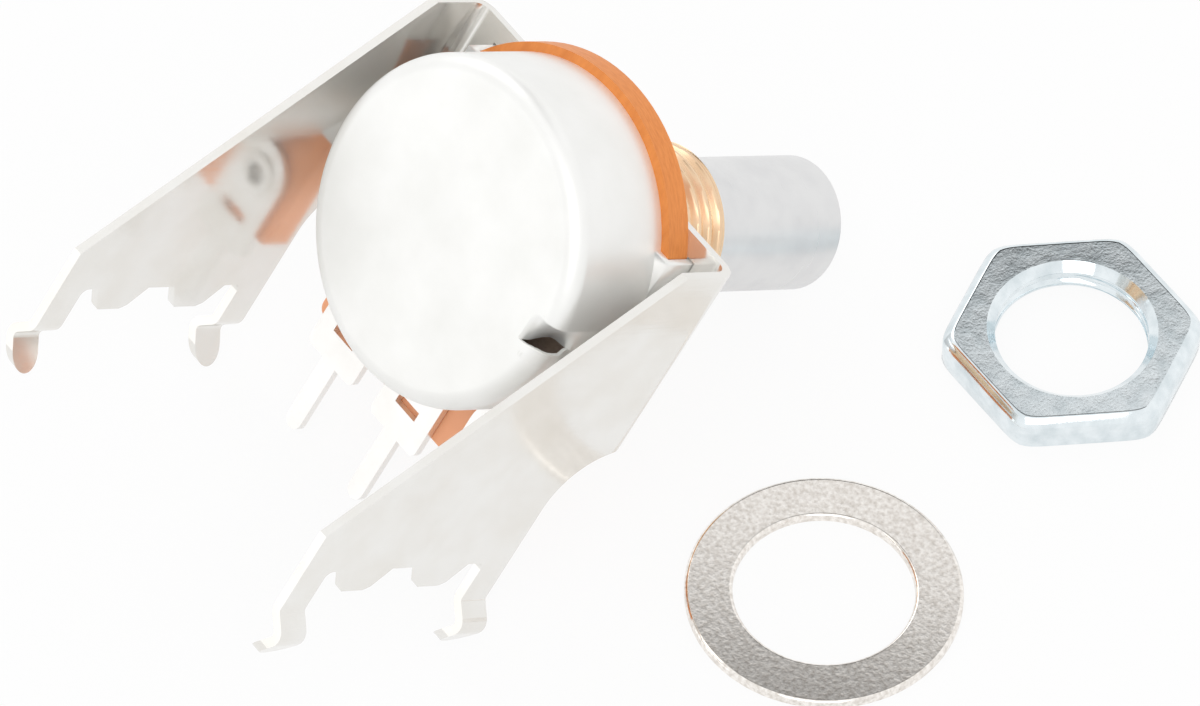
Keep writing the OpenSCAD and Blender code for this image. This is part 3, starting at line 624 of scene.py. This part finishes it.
# %% Three rolled eyelets
row = Recipe("eyelet_row", Pitch=rivet_pitch)
step_along = row.add("ShaderNodeCombineXYZ", {}, row.input("Pitch"), 0.0, 0.0)
start = row.add("ShaderNodeCombineXYZ", {}, row.input("Pitch") * -1.0, 0.0, 0.0)
points = row.add("GeometryNodeMeshLine", {"mode": "OFFSET"}, Count=3, Start_Location=start, Offset=step_along)
copies = row.add("GeometryNodeInstanceOnPoints", {}, points, Instance=row.input("Geometry"))
row.close(copies, terminal_tin)
rivets_mesh = row.bake("rolled_eyelets", one_rivet)
rivets_mesh.transform(to_scene @ Matrix.Scale(MM, 4) @ Matrix.Translation((0, -rivet_drop, 0)))
rivets_mesh.shade_smooth()
rivets_mesh.set_sharp_from_angle(angle=math.radians(40))
rivets = bpy.data.objects.new("rolled_eyelets", rivets_mesh)
bpy.context.scene.collection.objects.link(rivets)
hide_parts("rivet_left", "rivet_middle", "rivet_right")
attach(rivets, "housing")
print("eyelets at a pitch of", round(rivet_pitch, 3), "mm")

# %% [markdown]
# ## The stop pressed in the cover
# A punch sinks the corner of the drawn cover to make the stop that ends the travel. The sheet
# slopes in from a crease on the upper side and tears open along the lower side. A grid of points
# says that well: its columns follow the cover's outline and sink towards a second, sunken one.
# Both outlines are given at a few places, as distance from the axis and place along the shaft,
# then split finely and smoothed.

# %% Outlines of the cover's corner, whole and sunken
cover_r = 8.2
cover_back = -7.7
corner_r = 0.9
corner_z = cover_back + corner_r
grid_end_x = -6.1
grid_end_z = -3.5
outline_pairs = [
    ((-6.60, -7.70), (-6.60, -7.70)), ((-6.80, -7.70), (-6.72, -7.60)), ((-7.00, -7.70), (-6.82, -7.35)),
    ((-7.30, -7.70), (-6.92, -7.05)), ((-7.644, -7.631), (-6.93, -6.70)), ((-7.936, -7.436), (-6.93, -6.35)),
    ((-8.131, -7.144), (-6.92, -5.98)), ((-8.20, -6.80), (-7.02, -5.76)), ((-8.20, -6.40), (-7.32, -5.68)),
    ((-8.20, -6.00), (-7.62, -5.60)), ((-8.20, -5.60), (-7.86, -5.45)), ((-8.20, -5.10), (-7.92, -4.98)),
    ((-8.20, -4.60), (-7.96, -4.50)), ((-8.20, -4.10), (-8.08, -4.08)), ((-8.20, -3.70), (-8.20, -3.70)),
]

def refine(points, parts):
    """Splits each stretch of a list of pairs into equal parts."""
    fine = [points[0]]
    for a, b in zip(points, points[1:]):
        fine += [tuple(tuple(p + (q - p) * k / parts for p, q in zip(s, t)) for s, t in zip(a, b))
                 for k in range(1, parts + 1)]
    return fine

def smoothed(points):
    """Draws each sunken place towards its neighbours; the whole outline stays."""
    middle = [(b[0], tuple((p + 2 * q + r) / 4 for p, q, r in zip(a[1], b[1], c[1])))
              for a, b, c in zip(points, points[1:], points[2:])]
    return [points[0]] + middle + [points[-1]]

columns = refine(outline_pairs, 4)
for smoothing in range(4):
    columns = smoothed(columns)
on_back = (grid_end_x, cover_back)
on_side = (-cover_r, grid_end_z)
columns = [(on_back, on_back)] + columns + [(on_side, on_side)]
print("columns of the stop's grid:", len(columns))

# %% [markdown]
# ## The grid of the stop
# Down each column the points leave the cover at the crease, sink along the slope and end at the
# slit. Below the slit a second row of points starts, so the sheet is open there. Towards the rim
# the lower part sinks as well, which closes the slit in a point.

# %% Sheet of the stop
crease_y = 0.95
slit_y = -0.45
slit_left_y = -0.70
grid_low_y = -1.3
grid_high_y = 1.1
slit_rise = (6.6, 7.9)
slit_closing = (-6.5, -5.5)
SAG = 0.3
FLAT_FROM = 0.9
ROWS_ABOVE = 3
ROWS_SLOPE = 16
ROWS_BELOW = 10

def on_cover(outline, sunken, y, share):
    """A point on the cover's round outside, moved by a share of the way to the sunken outline."""
    x, z = outline
    round_x = x if z == cover_back and x > corner_r - cover_r else -math.sqrt(x * x - y * y)
    return (round_x + (sunken[0] - x) * share, y, z + (sunken[1] - z) * share)

def smooth_step(value, low, high):
    t = min(max((value - low) / (high - low), 0.0), 1.0)
    return t * t * (3 - 2 * t)

def between(start, end, share):
    return start + (end - start) * share

def upper_points(slit):
    """Height and share of sinking from the grid's top over the crease down to the slit."""
    flat = [(between(grid_high_y, crease_y, k / ROWS_ABOVE), 0.0) for k in range(ROWS_ABOVE)]
    shares = [k / ROWS_SLOPE for k in range(ROWS_SLOPE + 1)]
    return flat + [(between(crease_y, slit, t), t * (1 + SAG - SAG * t)) for t in shares]

def lower_points(slit, closing):
    """The same from the slit down to the grid's foot."""
    shares = [k / ROWS_BELOW for k in range(ROWS_BELOW + 1)]
    return [(between(slit, grid_low_y, t), closing * (1 - smooth_step(t, 0, FLAT_FROM))) for t in shares]

sheet_points = bmesh.new()
grid_columns = []
for outline, sunken in columns:
    slit = between(slit_left_y, slit_y, smooth_step(-outline[0], *slit_rise))
    closing = smooth_step(outline[1], *slit_closing)
    sides = [[sheet_points.verts.new(on_cover(outline, sunken, y, share)) for y, share in side]
             for side in (upper_points(slit), lower_points(slit, closing))]
    grid_columns.append(sides)
for sides_a, sides_b in zip(grid_columns, grid_columns[1:]):
    for side_a, side_b in zip(sides_a, sides_b):
        for k in range(len(side_a) - 1):
            sheet_points.faces.new((side_a[k], side_b[k], side_b[k + 1], side_a[k + 1]))
bmesh.ops.remove_doubles(sheet_points, verts=sheet_points.verts, dist=0.0005)
sheet_points.normal_update()
if sum(face.normal.z * face.calc_area() for face in sheet_points.faces) > 0:
    bmesh.ops.reverse_faces(sheet_points, faces=sheet_points.faces)
sheet = bpy.data.meshes.new("stop_sheet")
sheet_points.to_mesh(sheet)
sheet_points.free()
print("faces of the stop's sheet:", len(sheet.polygons))

# %% [markdown]
# ## The cover around the stop
# The grid gets its thickness from a Solidify modifier. The rest is a copy of the CAD cover, with a
# block cut away where the grid goes, so the CAD piece itself stays untouched. The copy is taken
# back to the shaft's axes first, because the block is easiest to say there.

# %% Cover with its stop
torn_wall = 0.16
block_size = Vector((3.0, grid_high_y - grid_low_y, 5.0))
block_middle = Vector((grid_end_x, (grid_low_y + grid_high_y) / 2, grid_end_z))
block_middle.x -= block_size.x / 2
block_middle.z -= block_size.z / 2

def applied(mesh, kind, **settings):
    """Runs one modifier on a mesh and gives back the result as a plain mesh."""
    carrier = bpy.data.objects.new("carrier", mesh)
    bpy.context.scene.collection.objects.link(carrier)
    modifier = carrier.modifiers.new("step", kind)
    for key, value in settings.items():
        setattr(modifier, key, value)
    depsgraph = bpy.context.evaluated_depsgraph_get()
    result = bpy.data.meshes.new_from_object(carrier.evaluated_get(depsgraph))
    carrier.modifiers.clear()
    bpy.data.objects.remove(carrier)
    return result

thick_sheet = applied(sheet, "SOLIDIFY", thickness=torn_wall, offset=-1.0)
to_own = (to_scene @ Matrix.Scale(MM, 4)).inverted()
shell = frame["nodes"]["rear_cover"].data.copy()
shell.transform(to_own)
work = bmesh.new()
bmesh.ops.create_cube(work, size=1.0, matrix=Matrix.LocRotScale(block_middle, None, block_size))
block_mesh = bpy.data.meshes.new("block")
work.to_mesh(block_mesh)
work.free()
cutter = bpy.data.objects.new("block", block_mesh)
bpy.context.scene.collection.objects.link(cutter)
opened = applied(shell, "BOOLEAN", object=cutter, operation="DIFFERENCE", solver="EXACT")
bpy.data.objects.remove(cutter)

work = bmesh.new()
work.from_mesh(opened)
work.from_mesh(thick_sheet)
cover_open_edges = open_edges(work)
cover_mesh = bpy.data.meshes.new("pressed_cover")
work.to_mesh(cover_mesh)
work.free()
cover_mesh.transform(to_scene @ Matrix.Scale(MM, 4))
cover_mesh.materials.clear()
cover_mesh.materials.append(cover_plate)
cover_mesh.shade_smooth()
cover_mesh.set_sharp_from_angle(angle=SHARP_ANGLE)
print("pressed_cover faces:", len(cover_mesh.polygons), "open edges:", cover_open_edges)

# %% [markdown]
# ## Hiding the seam
# Shading is smoothed over the faces that meet, and along the seam between the cut copy and the
# grid those differ, which would draw a line. The cover's outside is a plain cylinder, a round
# corner and a flat back, so the exact direction is known at each point and is written there.

# %% Exact directions on the cover's outside
WALL_TOLERANCE = 0.02
BACK_TOLERANCE = 0.005
SAME_WAY = 0.985

def true_normal(spot):
    """The exact direction of the cover's outside at a spot on it, or None off it."""
    r = math.hypot(spot.x, spot.y)
    if spot.z > corner_z and abs(r - cover_r) < WALL_TOLERANCE:
        return Vector((spot.x / r, spot.y / r, 0))
    if abs(spot.z - cover_back) < BACK_TOLERANCE and r < cover_r - corner_r:
        return Vector((0, 0, -1))
    out = r - (cover_r - corner_r)
    down = spot.z - corner_z
    if out >= 0 and down <= 0 and abs(math.hypot(out, down) - corner_r) < WALL_TOLERANCE:
        return Vector((out * spot.x / r, out * spot.y / r, down)).normalized()
    return None

turn_only = to_scene.to_3x3()
normals = [normal.vector.copy() for normal in cover_mesh.corner_normals]
spots = [to_own @ vertex.co for vertex in cover_mesh.vertices]
mended = 0
for face in cover_mesh.polygons:
    for corner in face.loop_indices:
        exact = true_normal(spots[cover_mesh.loops[corner].vertex_index])
        if exact and (turn_only @ exact).dot(face.normal) > SAME_WAY:
            normals[corner] = turn_only @ exact
            mended += 1
cover_mesh.normals_split_custom_set(normals)
cover = bpy.data.objects.new("pressed_cover", cover_mesh)
bpy.context.scene.collection.objects.link(cover)
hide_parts("rear_cover")
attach(cover, "housing")
print("corners with the exact direction:", mended)

# %% [markdown]
# ## The floor
# The picture has a pure white ground. The floor looks white to the camera and to reflections, by
# way of the Light Path node, while the light that it throws on the part stays plain. It mixes a
# little real diffuse white in, so a faint shadow stays under the part.

# %% Pale floor
FLOOR_REACH = 0.6
FLOOR_GAP = 0.00001
WHITE = (1, 1, 1, 1)
corners = [(x * FLOOR_REACH, y * FLOOR_REACH, 0) for x, y in ((-1, -1), (1, -1), (1, 1), (-1, 1))]
floor_mesh = bpy.data.meshes.new("pale_floor")
floor_mesh.from_pydata(corners, [], [(0, 1, 2, 3)])
floor_mesh.transform(Matrix.Translation((0, 0, floor_z - FLOOR_GAP)))
floor = bpy.data.objects.new("pale_floor", floor_mesh)
bpy.context.scene.collection.objects.link(floor)

floor_look = bpy.data.materials.new("pale_ground")
floor_look.use_nodes = True
floor_look.node_tree.nodes.clear()
ground = Writer(floor_look.node_tree)
camera_ray = ground.add("ShaderNodeLightPath", {}, output="Is Camera Ray")
glossy_ray = ground.add("ShaderNodeLightPath", {}, output="Is Glossy Ray")
seen = (camera_ray * 0.9).math("MAXIMUM", glossy_ray * 0.75)
plain = ground.add("ShaderNodeBsdfDiffuse", {}, (0.9, 0.9, 0.9, 1))
glowing = ground.add("ShaderNodeEmission", {}, WHITE, 1.0)
ground.add("ShaderNodeOutputMaterial", {}, ground.add("ShaderNodeMixShader", {}, seen, plain, glowing))
floor_mesh.materials.append(floor_look)
print("floor of", 2 * FLOOR_REACH, "m")

# %% [markdown]
# ## The world
# The world is white as well, a little less so for the light that it throws. Polished metal sees
# pale walls with two dim round patches. Their edges fall across the flat faces of the nut and the
# washer, as the edges of soft boxes do in the picture. Dark cards in the scene could do the same,
# but only mirror rays see these patches, so they take no light away from the part.

# %% World with two dim patches
world = bpy.data.worlds.new("white_room")
bpy.context.scene.world = world
world.use_nodes = True
world.node_tree.nodes.clear()
sky = Writer(world.node_tree)
camera_ray, glossy_ray, clear_ray = (sky.add("ShaderNodeLightPath", {}, output=kind) for kind in (
    "Is Camera Ray", "Is Glossy Ray", "Is Transmission Ray"))
straight_or_mirrored = camera_ray.math("MAXIMUM", glossy_ray).math("MAXIMUM", clear_ray)
level = sky.add("ShaderNodeMapRange", {}, straight_or_mirrored, To_Min=0.85, To_Max=1.0)
direction = sky.add("ShaderNodeTexCoord", {}, output="Generated")

def dim_patch(towards, edge_from, edge_to, level_inside):
    """One, falling softly to the level inside a round patch; the edges are cosines of its angle."""
    facing = sky.add("ShaderNodeVectorMath", {"operation": "DOT_PRODUCT"}, direction, towards)
    return sky.add("ShaderNodeMapRange", {"interpolation_type": "SMOOTHSTEP"}, facing,
                   From_Min=edge_from, From_Max=edge_to, To_Min=1.0, To_Max=level_inside)

high_patch = dim_patch((0.346, -0.267, 0.899), 0.98325, 0.98445, 0.26)
low_patch = dim_patch((0.5877, -0.4530, 0.6704), 0.98310, 0.98450, 0.05)
shown = sky.add("ShaderNodeMix", {"data_type": "FLOAT"}, glossy_ray, 1.0, high_patch * low_patch)
sky.add("ShaderNodeOutputWorld", {}, sky.add("ShaderNodeBackground", {}, WHITE, level * shown))
print("nodes of the world:", len(world.node_tree.nodes))

# %% [markdown]
# ## Soft studio lamps
# The white world gives most of the light, evenly from all sides. Three large soft boxes add a
# little from above and from two sides, so the shaft and the cover turn gently from light to grey.
# Small lamps would draw hard spots on the polished metal instead.

# %% Lamps
aim_at = Vector((-0.005, 0.0, -0.004))

def soft_box(name, place, size, power):
    data = bpy.data.lights.new(name, "AREA")
    data.shape = "RECTANGLE"
    data.size, data.size_y = size
    data.energy = power
    lamp = bpy.data.objects.new(name, data)
    lamp.location = place
    lamp.rotation_euler = (aim_at - Vector(place)).to_track_quat("-Z", "Y").to_euler()
    bpy.context.scene.collection.objects.link(lamp)

soft_box("key_above_left", (-0.25, 0.20, 0.42), (0.30, 0.30), 0.45)
soft_box("card_behind_cover", (0.22, 0.42, 0.08), (0.30, 0.20), 0.06)
soft_box("rim_right", (0.35, -0.05, 0.30), (0.25, 0.25), 0.20)

# %% [markdown]
# ## The camera
# The picture was taken from behind and above, with a long lens, so parallel edges stay nearly
# parallel. The direction, the roll and the distance were found by matching the corners of the
# bracket, the pins, the washer and the nut with their places in the picture.

# %% Camera at the picture's angle
azimuth = math.radians(232.378)
elevation = math.radians(52.677)
roll = math.radians(2.348)
eye = Vector((-0.271202, 0.205902, 0.437288))
away = math.cos(elevation)
back = Vector((math.sin(azimuth) * away, -math.cos(azimuth) * away, math.sin(elevation)))
level_right = (-back).cross(Vector((0, 0, 1))).normalized()
level_up = back.cross(level_right)
right = level_right * math.cos(roll) + level_up * math.sin(roll)
up = level_up * math.cos(roll) - level_right * math.sin(roll)
camera_data = bpy.data.cameras.new("picture_camera")
camera_data.sensor_width = 36.0
camera_data.lens = 360.189
camera_data.clip_start = 0.05
camera_data.clip_end = 5.0
camera = bpy.data.objects.new("picture_camera", camera_data)
camera.matrix_world = Matrix.Translation(eye) @ Matrix((right, up, back)).transposed().to_4x4()
bpy.context.scene.collection.objects.link(camera)
bpy.context.scene.camera = camera
bpy.context.scene.view_settings.view_transform = "Standard"
print("lens", camera_data.lens, "mm at", round(eye.length, 3), "m")
